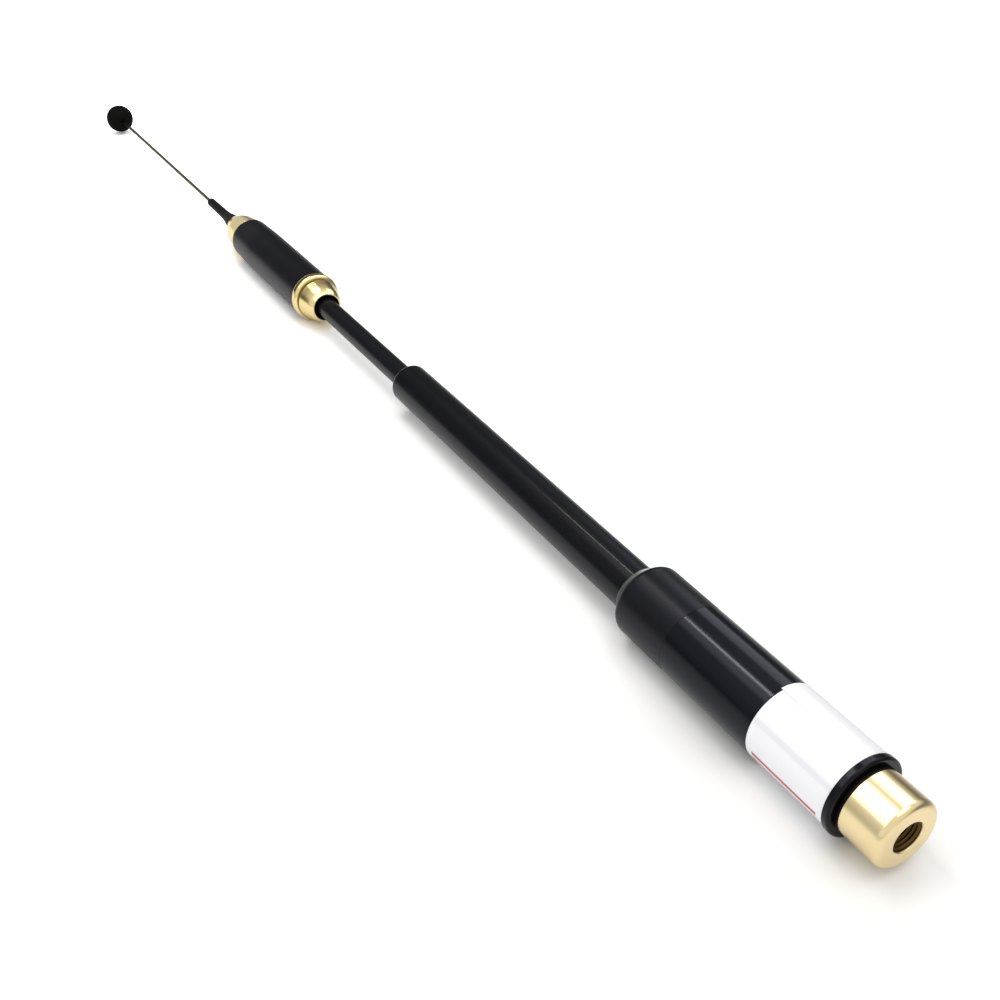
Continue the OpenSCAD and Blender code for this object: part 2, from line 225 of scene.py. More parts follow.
class Shader(Nodes):
    """Builds one material's nodes round a Principled shader.

    Attributes:
        OCTAVES: Octaves of the fine marks.
        RING_STRETCH: How many times longer than wide the marks round the axis are.
        STREAK_STRETCH: How many times longer than wide the marks along the axis are.
    """

    OCTAVES = 3.0
    RING_STRETCH = 60
    STREAK_STRETCH = 120

    def __init__(self, name: str) -> None:
        """Start a new material of that name."""
        self.material = bpy.data.materials.new(name)
        self.material.use_nodes = True
        super().__init__(self.material.node_tree, "Object")
        self.surface = self.tree.nodes["Principled BSDF"]

    def set(self, **values: "Wire | float | Colour") -> None:
        """Feed the Principled shader's sockets, with _ for each space in a socket's name."""
        for key, value in values.items():
            self.feed(self.surface.inputs[key.replace("_", " ")], value)

    def turn_angle(self) -> Wire:
        """Return the angle round the axis from +Y towards +Z, in radians."""
        return self.axis("Z").math("ARCTAN2", self.axis("Z"), self.axis("Y"))

    def reach(self) -> Wire:
        """Return the distance from the axis, in metres."""
        across, up = self.axis("Y"), self.axis("Z")
        return across.math("SQRT", across * across + up * up)

    def span(self, value: Wire, ends: tuple[float, float]) -> Wire:
        """Return a smooth step of a value in metres, from 0 to 1 between two ends in mm."""
        return self.step(value, ends[0] * MM, ends[1] * MM)

    def stripe(self, middle: float, full: float, gone: float) -> Wire:
        """Return a stripe along the axis that fades from 1 to 0 on each side.

        Args:
            middle: The stripe's place, in degrees.
            full: How far from its middle the stripe is still 1, in degrees.
            gone: How far from its middle the stripe is 0, in degrees.

        Returns:
            The stripe.
        """
        off = abs(self.turn_angle() - math.radians(middle))
        return 1 - self.step(off, math.radians(full), math.radians(gone))

    def noise(self, scale: Vector, detail: float, offset: float = 0.0) -> Wire:
        """Return smooth noise from 0 to 1.

        Args:
            scale: Marks per metre along each axis.
            detail: Octaves of finer marks.
            offset: Shift that makes one pattern differ from another.

        Returns:
            The noise.
        """
        placed = self.node("ShaderNodeMapping", None,
                           {"Vector": self.place(), "Scale": scale, "Location": (offset, offset, offset)})
        return self.node("ShaderNodeTexNoise", None, {"Vector": placed, "Scale": 1.0, "Detail": detail})

    def grain(self, kind: Grain, pitch: float) -> Wire:
        """Return fine marks of a kind.

        Args:
            kind: How the marks run.
            pitch: Distance between marks, in mm.

        Returns:
            The marks, from 0 to 1.
        """
        fine = 1 / (pitch * MM)
        scales = {
            Grain.RINGS: Vector((fine, fine / self.RING_STRETCH, fine / self.RING_STRETCH)),
            Grain.STREAKS: Vector((fine / self.STREAK_STRETCH, fine, fine)),
            Grain.SPECKLE: Vector((fine, fine, fine)),
        }
        return self.noise(scales[kind], self.OCTAVES)

    def bump(self, height: Wire, depth: float) -> None:
        """Raise the surface by a height of 0 to 1, at a depth in mm."""
        inputs = {"Strength": 1.0, "Distance": depth * MM, "Height": height}
        self.set(Normal=self.node("ShaderNodeBump", None, inputs, "Normal"))


# Slow patterns, each with its marks per metre along the axes, its octaves and its shift.
CLOUDS = (Vector((160, 160, 160)), 3.0, 0.7)
SPECKS = (Vector((2600, 2600, 2600)), 1.0, 3.1)
PATCHES = (Vector((300, 900, 900)), 2.0, 1.7)


@dataclass(frozen=True)
class Finish:
    """A surface finish.

    Attributes:
        name: The material's name.
        slot: Name of a material slot; not used.
        colour: Main colour.
        second: Colour that the main one drifts towards.
        roughness: Middle roughness.
        spread: How far the roughness varies.
        grain: How the fine marks run.
        pitch: Distance between fine marks, in mm.
        depth: Depth of the fine marks, in mm.
        metallic: Share of metal.
        gloss: Specular level.
        coat: Weight of a clear coat.
        coat_roughness: Roughness of the clear coat.
        tint: Tint of the polish.
    """

    name: str
    slot: str
    colour: Colour
    second: Colour
    roughness: float
    spread: float
    grain: Grain
    pitch: float
    depth: float
    metallic: float = 0.0
    gloss: float = 0.5
    coat: float = 0.0
    coat_roughness: float = 0.05
    tint: Colour = (1.0, 1.0, 1.0)

    def material(self) -> bpy.types.Material:
        """Return the finish's material, made on first use."""
        found = bpy.data.materials.get(self.name)
        if found:
            return found
        shader = Shader(self.name)
        shader.set(Metallic=self.metallic, Specular_IOR_Level=self.gloss, Specular_Tint=self.tint,
                   Coat_Weight=self.coat, Coat_Roughness=self.coat_roughness)
        cloud = shader.noise(*CLOUDS)
        marks = shader.grain(self.grain, self.pitch)
        colour, rougher = self.mark(shader, shader.mix(cloud, self.colour, self.second))
        rough = self.roughness + self.spread * (cloud + marks - 1.0)
        shader.set(Base_Color=colour, Roughness=rough + rougher)
        shader.bump(marks, self.depth)
        return shader.material

    def mark(self, shader: Shader, plain: Wire) -> tuple[Wire, "Wire | float"]:
        """Put the finish's own marks on its plain colour.

        Args:
            shader: The material's nodes.
            plain: The plain colour.

        Returns:
            The marked colour, and how much rougher the marks are.
        """
        return plain, 0.0

    def dress(self, piece: Piece) -> None:
        """Put the finish on a piece, in place of any other."""
        piece.data.materials.clear()
        piece.data.materials.append(self.material())


@dataclass(frozen=True)
class WornFinish(Finish):
    """A black finish with dust specks, and with a paler worn edge at one place along the axis.

    Attributes:
        edge_x: Where the worn edge lies, in mm.
        edge_width: Width of the worn edge, in mm.
        worn: Colour of the worn edge.
        patch_edge: Levels of the noise between which the edge turns worn.
        speck_edge: Levels of the noise between which a speck sets in.
        speck_share: Share of the worn colour in a speck.
        speck_dull: How much rougher a speck is.
    """

    edge_x: float = 0.0
    edge_width: float = 0.35
    worn: Colour = (0.24, 0.24, 0.24)
    patch_edge: tuple[float, float] = (0.3, 0.6)
    speck_edge: tuple[float, float] = (0.80, 0.86)
    speck_share: float = 0.25
    speck_dull: float = 0.2

    def mark(self, shader: Shader, plain: Wire) -> tuple[Wire, "Wire | float"]:
        """Add the specks and the worn edge."""
        specks = shader.step(shader.noise(*SPECKS), *self.speck_edge)
        near = 1 - shader.span(abs(shader.axis("X") - self.edge_x * MM), (0.0, self.edge_width))
        patchy = near * shader.step(shader.noise(*PATCHES), *self.patch_edge)
        dusty = shader.mix(specks * self.speck_share, plain, self.worn)
        return shader.mix(patchy, dusty, self.worn), specks * self.speck_dull


@dataclass(frozen=True)
class BoreShadeMetal(Finish):
    """Metal with painted shade inside a bore about the axis, where it is also duller, and a dark band over a
    stretch of it.

    Attributes:
        bore_r: Radius of the bore, inside which shade is painted, in mm.
        bore_shade: Painted shade inside the bore.
        dull: How much rougher the bore and the band are.
        stretch: Where the dark band starts and ends along the axis, in mm.
        band_colour: Colour of the dark band.
        soft: Width over which the bore's painted shade and the band fade, in mm.
    """

    bore_r: float = 0.0
    bore_shade: Colour = (0.11, 0.065, 0.022)
    dull: float = 0.22
    stretch: tuple[float, float] = (-1.0, -1.0)
    band_colour: Colour = (0.012, 0.010, 0.008)
    soft: tuple[float, float] = (0.12, 0.05)

    def mark(self, shader: Shader, plain: Wire) -> tuple[Wire, "Wire | float"]:
        """Add the painted shade in the bore and the dark band."""
        # inside is the bore's mask, where shade is painted and the metal is duller.
        inside = 1 - shader.span(shader.reach(), (self.bore_r - self.soft[0], self.bore_r))
        dark_band = shader.band(shader.axis("X"), self.stretch[0] * MM, self.stretch[1] * MM, self.soft[1] * MM)
        colour = shader.mix(inside, shader.mix(dark_band, plain, self.band_colour), self.bore_shade)
        return colour, (inside + dark_band) * self.dull


@dataclass(frozen=True)
class SideShadedMetal(Finish):
    """Metal that keeps its colour on one side of the axis and has painted shade on the other.

    Attributes:
        lit_side: Middle of the side that keeps its colour, in degrees.
        edge: Cosines of the angle from that middle at which the painted shade is full and gone.
        side_shade: Colour of the painted shade.
    """

    lit_side: float = 128.0
    edge: tuple[float, float] = (0.55, 0.95)
    side_shade: Colour = (0.075, 0.08, 0.075)

    def mark(self, shader: Shader, plain: Wire) -> tuple[Wire, "Wire | float"]:
        """Add the painted shade."""
        off = shader.turn_angle() - math.radians(self.lit_side)
        # lit is the side that keeps its colour; the rest is painted shade.
        lit = shader.step(off.math("COSINE", off), *self.edge)
        return shader.mix(lit, self.side_shade, plain), 0.0


@dataclass(frozen=True)
class LabelFilm(Finish):
    """A white film with two plain red rules along its lower flank, painted shade along its seam and in two
    bands.

    Attributes:
        red: Colour of the rules.
        start_x: Where the rules start along the axis, in mm.
        end_x: Where the rules and the painted seam shade end along the axis, in mm.
        rules: The angle of each rule's middle and its half width, in degrees.
        rule_edge: How far a rule's sides fade, in degrees.
        rule_soft: How far a rule's ends fade, in mm.
        seam: Angle of the painted shade line along the seam, in degrees.
        seam_shade: Colour of the painted shade line.
        seam_shade_half: How far from its middle the painted shade line is full and gone, in degrees.
        seam_shade_len: Length of the painted shade line, in mm.
        seam_shade_share: Share of the painted shade line's colour.
        shade_bands: The angle of each band of painted shade, its half width and its colour.
        shade_band_core: Share of a band's half width that has its full painted shade.
    """

    red: Colour = (0.48, 0.02, 0.04)
    start_x: float = 0.0
    end_x: float = 0.0
    rules: tuple[tuple[float, float], ...] = ((-17.0, 3.5), (-27.0, 1.5))
    rule_edge: float = 0.4
    rule_soft: float = 0.1
    seam: float = 83.5
    seam_shade: Colour = (0.60, 0.59, 0.68)
    seam_shade_half: tuple[float, float] = (0.2, 1.3)
    seam_shade_len: float = 9.0
    seam_shade_share: float = 0.8
    shade_bands: tuple[tuple[float, float, Colour], ...] = ((31.5, 6.0, (0.75, 0.75, 0.79)),
                                                      (134.0, 8.0, (0.56, 0.56, 0.61)))
    shade_band_core: float = 0.3

    def mark(self, shader: Shader, plain: Wire) -> tuple[Wire, "Wire | float"]:
        """Add the bands of painted shade, the rules and the painted shade line along the seam."""
        along = shader.axis("X")
        printed = shader.band(along, self.start_x * MM, self.end_x * MM, self.rule_soft * MM)
        colour = plain
        # Bands of painted shade round the label.
        for middle, half, grey in self.shade_bands:
            colour = shader.mix(shader.stripe(middle, half * self.shade_band_core, half), colour, grey)
        for middle, half in self.rules:
            inked = shader.stripe(middle, half - self.rule_edge, half + self.rule_edge) * printed
            colour = shader.mix(inked, colour, self.red)
        # A painted shade line along the film's seam.
        seam_shaded = shader.stripe(self.seam, *self.seam_shade_half)
        seam_shaded = seam_shaded * shader.span(along, (self.end_x - self.seam_shade_len, self.end_x))
        return shader.mix(seam_shaded * self.seam_shade_share, colour, self.seam_shade), 0.0


PLATE = ((0.90, 0.75, 0.44), (0.85, 0.68, 0.37))
HEAD_PLATE = ((0.90, 0.74, 0.37), (0.84, 0.66, 0.29))
INK = (0.81, 0.82, 1.0)
GOLD = Finish("bright_gold_plate", "gold_plate", *HEAD_PLATE, 0.18, 0.05, Grain.RINGS, 0.12, 0.0010,
              metallic=1.0)
# The socket's plate gets painted shade inside its threaded bore; ConnectorEnd adds a band of painted shade
# beside the ring.
SOCKET_GOLD = BoreShadeMetal("socket_gold_plate", "gold_plate", *PLATE, 0.2, 0.05, Grain.RINGS, 0.12, 0.0010,
                           metallic=1.0, bore_r=3.22)
# The collar's plate gets painted shade inside its mouth; CoilHead adds a band of painted shade over the
# groove.
COLLAR_GOLD = BoreShadeMetal("collar_gold_plate", "gold_plate", *HEAD_PLATE, 0.16, 0.05, Grain.RINGS, 0.12,
                           0.0010, metallic=1.0, bore_r=4.02, bore_shade=(0.012, 0.010, 0.006),
                           band_colour=(0.46, 0.34, 0.14))
INSULATOR = Finish("waxy_insulator", "insulator_white", (0.82, 0.82, 0.79), (0.74, 0.73, 0.69), 0.42, 0.08,
                   Grain.RINGS, 0.15, 0.002)
RING_BLACK = Finish("glossy_ring_black", "gloss_black", (0.002, 0.002, 0.0026), (0.0032, 0.0032, 0.004),
                    0.10, 0.03, Grain.SPECKLE, 0.35, 0.002, gloss=0.2, tint=INK)
# The label's film has two bands of painted shade and a painted shade line along its seam.
LABEL_FILM = LabelFilm("white_label_film", "label_white", (0.86, 0.86, 0.885), (0.82, 0.82, 0.85), 0.22, 0.06,
                       Grain.SPECKLE, 0.9, 0.003, gloss=0.4, coat=0.25)
SLEEVE_BLACK = Finish("glossy_sleeve_black", "gloss_black", (0.0042, 0.0046, 0.0066),
                      (0.0060, 0.0065, 0.0090), 0.15, 0.03, Grain.STREAKS, 0.5, 0.0015, gloss=0.2,
                      tint=INK)
SATIN_BLACK = Finish("satin_moulded_black", "satin_black", (0.0042, 0.0044, 0.0060), (0.0064, 0.0067, 0.0088),
                     0.33, 0.06, Grain.SPECKLE, 0.16, 0.004, gloss=0.2, tint=INK)
COVER_BLACK = Finish("satin_cover_black", "satin_black", (0.0022, 0.0024, 0.0032), (0.0036, 0.0039, 0.0052),
                     0.32, 0.06, Grain.STREAKS, 0.2, 0.003, gloss=0.2, tint=INK)
GUIDE_BLACK = Finish("soft_guide_black", "satin_black", (0.004, 0.004, 0.0042), (0.007, 0.007, 0.0068),
                     0.5, 0.08, Grain.SPECKLE, 0.12, 0.006, gloss=0.06)
LOWER_LACQUER = WornFinish("lower_tube_lacquer", "black_paint", (0.0022, 0.0024, 0.0034),
                           (0.0036, 0.0039, 0.0054), 0.32, 0.05, Grain.STREAKS, 0.18, 0.0015, gloss=0.15,
                           coat=0.2, coat_roughness=0.08, tint=INK)
UPPER_LACQUER = replace(LOWER_LACQUER, name="upper_tube_lacquer", roughness=0.36)
# The ferrule keeps its pale metal colour on its upper side and has painted shade on the other side.
FERRULE = SideShadedMetal("turned_ferrule", "ferrule_metal", (0.66, 0.69, 0.65), (0.56, 0.59, 0.55), 0.42, 0.08,
                     Grain.RINGS, 0.08, 0.002, metallic=0.4)
INNER_PLASTIC = Finish("moulded_cream", "inner_plastic", (0.62, 0.57, 0.45), (0.55, 0.50, 0.38), 0.5, 0.1,
                       Grain.SPECKLE, 0.2, 0.004)
COPPER = Finish("enamelled_copper", "copper_wire", (0.55, 0.22, 0.09), (0.46, 0.16, 0.06), 0.25, 0.06,
                Grain.STREAKS, 0.2, 0.002, metallic=0.9, coat=0.5)
BRASS = Finish("turned_brass", "bare_brass", (0.66, 0.47, 0.20), (0.56, 0.38, 0.15), 0.28, 0.08,
               Grain.RINGS, 0.1, 0.002, metallic=1.0)
BRONZE = Finish("spring_strip", "spring_bronze", (0.52, 0.29, 0.14), (0.44, 0.23, 0.10), 0.3, 0.08,
                Grain.STREAKS, 0.1, 0.002, metallic=1.0)
STEEL = BoreShadeMetal("dark_spring_wire", "whip_steel", (0.21, 0.22, 0.11), (0.15, 0.16, 0.08), 0.38, 0.08,
                     Grain.STREAKS, 0.15, 0.002, metallic=1.0, band_colour=(0.003, 0.003, 0.003))
TIP_BLACK = Finish("matte_tip_black", "tip_black", (0.0022, 0.0022, 0.0020), (0.004, 0.004, 0.0036),
                   0.62, 0.08, Grain.SPECKLE, 0.3, 0.01, gloss=0.04)

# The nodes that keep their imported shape, with their finishes.
KEPT = {
    "base_tube": INNER_PLASTIC,
    "matching_former": INNER_PLASTIC,
    "coil_former": INNER_PLASTIC,
    "tube_terminal": BRASS,
    "slider_bush": BRASS,
    "slider_spring": BRONZE,
    "whip_stop": BRASS,
    "whip_spring": BRONZE,
}


@dataclass(frozen=True)
class Turn:
    """One corner of a turned outline.

    Attributes:
        x: Place along the axis, in mm.
        r: Radius, in mm.
        fillet: Rounding of the corner, in mm.
    """

    x: float
    r: float
    fillet: float = 0.0


class Lathe:
    """Turns pieces about the axis with edit-mode operators.

    Attributes:
        SIDES: Sides of a turned piece.
        FILLET_STEPS: Faces across a rounding.
        SHARP: Angle above which an edge is shaded sharp, in radians.
        NEAR: Distance along the axis within which a point lies on a ring, in metres.
        MERGE: Distance within which points are one, in metres.
        HOLD_SHARE: Distance of a holding ring from its corner, as a share of the rounding.
        HOLD_GAP: What is added to that distance, in mm.
        HOLD_ROOM: Least room between two holding rings, in mm.
        HELIX_STEPS: Steps in one turn of a helix.
    """

    SIDES = 96
    FILLET_STEPS = 5
    SHARP = math.radians(32)
    NEAR = 1e-7
    MERGE = 1e-6
    HOLD_SHARE = 1.12
    HOLD_GAP = 0.03
    HOLD_ROOM = 0.08
    HELIX_STEPS = 36

    def _open(self, name: str) -> Piece:
        """Name the new primitive, apply its place and enter edit mode on its edges."""
        piece = bpy.context.object
        piece.name = name
        piece.data.name = name
        bpy.ops.object.transform_apply(location=True, rotation=True, scale=True)
        bpy.ops.object.mode_set(mode="EDIT")
        bpy.ops.mesh.select_mode(type="EDGE")
        return piece

    def _close(self, piece: Piece) -> Piece:
        """Merge doubles, turn the faces outwards, leave edit mode and shade the piece."""
        bpy.ops.mesh.select_all(action="SELECT")
        bpy.ops.mesh.remove_doubles(threshold=self.MERGE)
        bpy.ops.mesh.normals_make_consistent(inside=False)
        bpy.ops.object.mode_set(mode="OBJECT")
        bpy.ops.object.shade_smooth_by_angle(angle=self.SHARP)
        return piece

    def _carry(self, before: Turn, after: Turn) -> None:
        """Extrude the selected ring from one corner of the outline to the next."""
        shift = ((after.x - before.x) * MM, 0.0, 0.0)
        bpy.ops.mesh.extrude_edges_move(TRANSFORM_OT_translate={"value": shift})
        if after.r == 0:
            bpy.ops.mesh.merge(type="CENTER")
        elif after.r != before.r:
            share = after.r / before.r
            bpy.ops.transform.resize(value=(1.0, share, share), center_override=(after.x * MM, 0.0, 0.0))

    def _round(self, piece: Piece, corner: Turn) -> None:
        """Bevel the ring of edges at one corner of the outline."""
        bpy.ops.mesh.select_all(action="DESELECT")
        mesh = bmesh.from_edit_mesh(piece.data)
        for edge in mesh.edges:
            edge.select_set(all(
                abs(point.co.x - corner.x * MM) < self.NEAR
                and abs(math.hypot(point.co.y, point.co.z) - corner.r * MM) < self.MERGE
                for point in edge.verts))
        bmesh.update_edit_mesh(piece.data)
        bpy.ops.mesh.bevel(offset=corner.fillet * MM, segments=self.FILLET_STEPS, profile=0.5, affect="EDGES")

    def _held(self, outline: list[Turn], closed: bool) -> list[Turn]:
        """Add a ring beside each rounding, so that the straight stretch past it is shaded straight.

        Args:
            outline: The outline's corners.
            closed: Whether the last corner runs on to the first.

        Returns:
            The corners with the added rings.
        """
        held = []
        for i, corner in enumerate(outline):
            if i or closed:
                held += self._hold(corner, outline[i - 1])
            held.append(corner)
            if i + 1 < len(outline) or closed:
                held += self._hold(corner, outline[(i + 1) % len(outline)])
        return held

    def _hold(self, corner: Turn, other: Turn) -> list[Turn]:
        """Return the ring beside a corner's rounding on the side of another corner, if it fits."""
        length = math.hypot(other.x - corner.x, other.r - corner.r)
        reach = corner.fillet * self.HOLD_SHARE + self.HOLD_GAP
        if not corner.fillet or length < reach + other.fillet * self.HOLD_SHARE + self.HOLD_ROOM:
            return []
        share = reach / length
        return [Turn(corner.x + (other.x - corner.x) * share, corner.r + (other.r - corner.r) * share)]

    def turn(self, name: str, outline: list[Turn]) -> Piece:
        """Make a turned piece.

        Args:
            name: The piece's name.
            outline: Its corners in order. One that starts and ends on the axis is a solid piece. Any other
                is closed from its last corner to its first.

        Returns:
            The piece.
        """
        solid = outline[0].r == 0
        held = self._held(outline, not solid)
        corners = held[1:] if solid else [*held, held[0]]
        first = corners[0]
        bpy.ops.object.select_all(action="DESELECT")
        bpy.ops.mesh.primitive_circle_add(
            vertices=self.SIDES, radius=first.r * MM, fill_type="TRIFAN" if solid else "NOTHING",
            location=(first.x * MM, 0.0, 0.0), rotation=(0.0, math.pi / 2, 0.0))
        piece = self._open(name)
        bpy.ops.mesh.select_all(action="DESELECT")
        bpy.ops.mesh.select_non_manifold()
        for before, after in zip(corners, corners[1:]):
            self._carry(before, after)
        bpy.ops.mesh.select_all(action="SELECT")
        bpy.ops.mesh.remove_doubles(threshold=self.MERGE)
        for corner in outline:
            if corner.fillet:
                self._round(piece, corner)
        return self._close(piece)

    def helix(self, name: str, start: float, length: float, radius: float, pitch: float,
              half: tuple[float, float], sides: int) -> Piece:
        """Make a helix of wire or of thread.

        Args:
            name: The piece's name.
            start: Where the middle of the first turn lies along the axis, in mm.
            length: Length along the axis, in mm.
            radius: Radius at the middle of the section, in mm.
            pitch: Length of one turn along the axis, in mm.
            half: Half the section's width along the axis and outwards, in mm.
            sides: Sides of the section.

        Returns:
            The piece.
        """
        bpy.ops.object.select_all(action="DESELECT")
        bpy.ops.mesh.primitive_circle_add(
            vertices=sides, radius=MM, fill_type="NOTHING", location=(start * MM, 0.0, radius * MM),
            rotation=(math.pi / 2, 0.0, 0.0))
        piece = self._open(name)
        bpy.ops.mesh.select_all(action="SELECT")
        bpy.ops.transform.resize(value=(half[0], 1.0, half[1]),
                                 center_override=(start * MM, 0.0, radius * MM))
        bpy.ops.object.mode_set(mode="OBJECT")
        screw = piece.modifiers.new("turns", "SCREW")
        screw.axis = "X"
        screw.iterations = 1
        screw.angle = 2 * math.pi * length / pitch
        screw.screw_offset = length * MM
        screw.steps = screw.render_steps = round(self.HELIX_STEPS * length / pitch)
        bpy.ops.object.modifier_apply(modifier=screw.name)
        bpy.ops.object.mode_set(mode="EDIT")
        bpy.ops.mesh.select_all(action="DESELECT")
        bpy.ops.mesh.select_non_manifold()
        bpy.ops.mesh.edge_face_add()
        return self._close(piece)

    def sector(self, piece: Piece, start: float, end: float) -> None:
        """Cut a turned piece down to the stretch between two angles under half a turn apart.

        Args:
            piece: The piece.
            start: First angle, in degrees.
            end: Last angle, in degrees.
        """
        bpy.ops.object.select_all(action="DESELECT")
        piece.select_set(True)
        bpy.context.view_layer.objects.active = piece
        bpy.ops.object.mode_set(mode="EDIT")
        for angle, sense in ((math.radians(start), 1), (math.radians(end), -1)):
            bpy.ops.mesh.select_all(action="SELECT")
            bpy.ops.mesh.bisect(plane_co=(0.0, 0.0, 0.0), use_fill=True, clear_inner=True,
                                plane_no=(0.0, -sense * math.sin(angle), sense * math.cos(angle)))
        self._close(piece)

    @staticmethod
    def join(piece: Piece, *others: Piece) -> Piece:
        """Join other meshes into a piece."""
        bpy.ops.object.select_all(action="DESELECT")
        for part in (piece, *others):
            part.select_set(True)
        bpy.context.view_layer.objects.active = piece
        bpy.ops.object.join()
        return piece


LATHE = Lathe()


def settle(piece: Piece, body: Body, finish: Finish, node: str) -> None:
    """Dress a new piece, ride it on its body and hide the node that it takes the place of.

    Args:
        piece: The new piece.
        body: The body that it moves with.
        finish: Its finish.
        node: The node that it stands for.
    """
    finish.dress(piece)
    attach(piece, body.value)
    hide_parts(node)
    LOG.info("%s rides on %s and has %d faces", piece.name, body.value, len(piece.data.polygons))


def sleeve(name: str, start: float, end: float, outer: float, inner: float,
           edges: tuple[float, float, float, float]) -> Piece:
    """Make a plain sleeve.

    Args:
        name: The piece's name.
        start: Where it starts along the axis, in mm.
        end: Where it ends along the axis, in mm.
        outer: Outer radius, in mm.
        inner: Inner radius, in mm.
        edges: Rounding of the outer start, the outer end, the inner end and the inner start, in mm.

    Returns:
        The piece.
    """
    corners = ((start, outer), (end, outer), (end, inner), (start, inner))
    return LATHE.turn(name, [Turn(*corner, edge) for corner, edge in zip(corners, edges)])


def arc(centre: float, radius: float, start: float, end: float, steps: int) -> list[Turn]:
    """Return corners along an arc about a point on the axis.

    Args:
        centre: The point's place along the axis, in mm.
        radius: Radius of the arc, in mm.
        start: First angle, in degrees from -X.
        end: Last angle, in degrees from -X.
        steps: Number of stretches.

    Returns:
        The corners.
    """
    angles = [math.radians(start + (end - start) * i / steps) for i in range(steps + 1)]
    return [Turn(centre - radius * math.cos(a), radius * math.sin(a)) for a in angles]


@dataclass
class ConnectorEnd:
    """The gold end with its threaded socket, its insulator and its pin.

    Attributes:
        front_round: Rounding of the shell's front edge, in mm.
        rear_round: Rounding of the shell's rear edge, in mm.
        spigot_r: Radius of the spigot inside the base, in mm.
        crest_r: Radius at the thread's crests, in mm.
        root_r: Radius at the thread's roots, in mm.
        mouth_r: Radius of the hole in the face, in mm.
        mouth_depth: Depth of the mouth's chamfer, in mm.
        thread_end: Where the thread ends, in mm.
        thread_pitch: Pitch of the thread, in mm.
        thread_half: Half the width of the thread's ridge, as a share of the pitch.
        thread_sides: Sides of the ridge's section.
        relief_r: Radius of the space behind the thread, in mm.
        seat_r: Radius of the insulator's front seat, in mm.
        back_r: Radius of the insulator's back seat, in mm.
        seat_step: Where the seat widens, in mm.
        gap: Gap between a seat and what sits in it, in mm.
        pin_r: Radius of the pin in front of the insulator, in mm.
        pin_point: Length of the pin's point, in mm.
        pin_neck: How far in front of the insulator the pin widens, in mm.
        painted_shade_extent: Length of the band of painted shade on the shell beside the ring, in mm.
    """

    front_round: float = 1.2
    rear_round: float = 0.12
    spigot_r: float = 5.9
    crest_r: float = 2.8
    root_r: float = 3.12
    mouth_r: float = 3.3
    mouth_depth: float = 0.3
    thread_end: float = 5.8
    thread_pitch: float = 0.706
    thread_half: float = 0.46
    thread_sides: int = 4
    relief_r: float = 3.4
    seat_r: float = 2.27
    back_r: float = 3.07
    seat_step: float = 11.7
    gap: float = 0.02
    pin_r: float = 0.47
    pin_point: float = 0.5
    pin_neck: float = 0.3
    painted_shade_extent: float = 0.9

    def shell(self) -> Piece:
        """Return the gold shell with its thread."""
        rear, tail, face = start_of("end_ring"), end_of("connector_shell"), start_of("connector_insulator")
        outer = radius_of("connector_shell")
        shell = LATHE.turn("gold_connector_shell", [
            Turn(0.0, outer, self.front_round),
            Turn(rear, outer, self.rear_round),
            Turn(rear, self.spigot_r),
            Turn(tail, self.spigot_r, 0.3),
            Turn(tail, self.back_r),
            Turn(self.seat_step, self.back_r),
            Turn(self.seat_step, self.seat_r),
            Turn(face, self.seat_r),
            Turn(face, self.relief_r),
            Turn(self.thread_end, self.relief_r),
            Turn(self.thread_end, self.root_r),
            Turn(self.mouth_depth, self.root_r, 0.06),
            Turn(0.0, self.mouth_r, 0.08),
        ])
        half = (self.thread_half * self.thread_pitch, self.root_r - self.crest_r)
        length = self.thread_end - self.mouth_depth - 2 * half[0]
        thread = LATHE.helix("socket_thread", self.mouth_depth + half[0], length, self.root_r,
                             self.thread_pitch, half, self.thread_sides)
        return LATHE.join(shell, thread)

    def insulator(self) -> Piece:
        """Return the white insulator."""
        face, tail, _ = span_of("connector_insulator")
        hole = radius_of("centre_pin") + self.gap
        return LATHE.turn("white_insulator", [
            Turn(face, self.seat_r - self.gap, 0.15),
            Turn(self.seat_step, self.seat_r - self.gap),
            Turn(self.seat_step, self.back_r - self.gap, 0.1),
            Turn(tail, self.back_r - self.gap, 0.2),
            Turn(tail, hole),
            Turn(face, hole, 0.05),
        ])

    def pin(self) -> Piece:
        """Return the contact pin."""
        tip, tail, body = span_of("centre_pin")
        neck = start_of("connector_insulator") - self.pin_neck
        return LATHE.turn("contact_pin", [
            Turn(tip, 0.0),
            Turn(tip, self.pin_r / 2, 0.08),
            Turn(tip + self.pin_point, self.pin_r, 0.15),
            Turn(neck, self.pin_r),
            Turn(neck, body, 0.08),
            Turn(tail, body, 0.15),
            Turn(tail, 0.0),
        ])

    def build(self) -> None:
        """Make and place the connector's pieces."""
        rear = start_of("end_ring")
        # A band of painted shade on the shell where it meets the ring.
        plate = replace(SOCKET_GOLD, stretch=(rear - self.painted_shade_extent, rear))
        settle(self.shell(), Body.BASE, plate, "connector_shell")
        settle(self.insulator(), Body.BASE, INSULATOR, "connector_insulator")
        settle(self.pin(), Body.BASE, GOLD, "centre_pin")


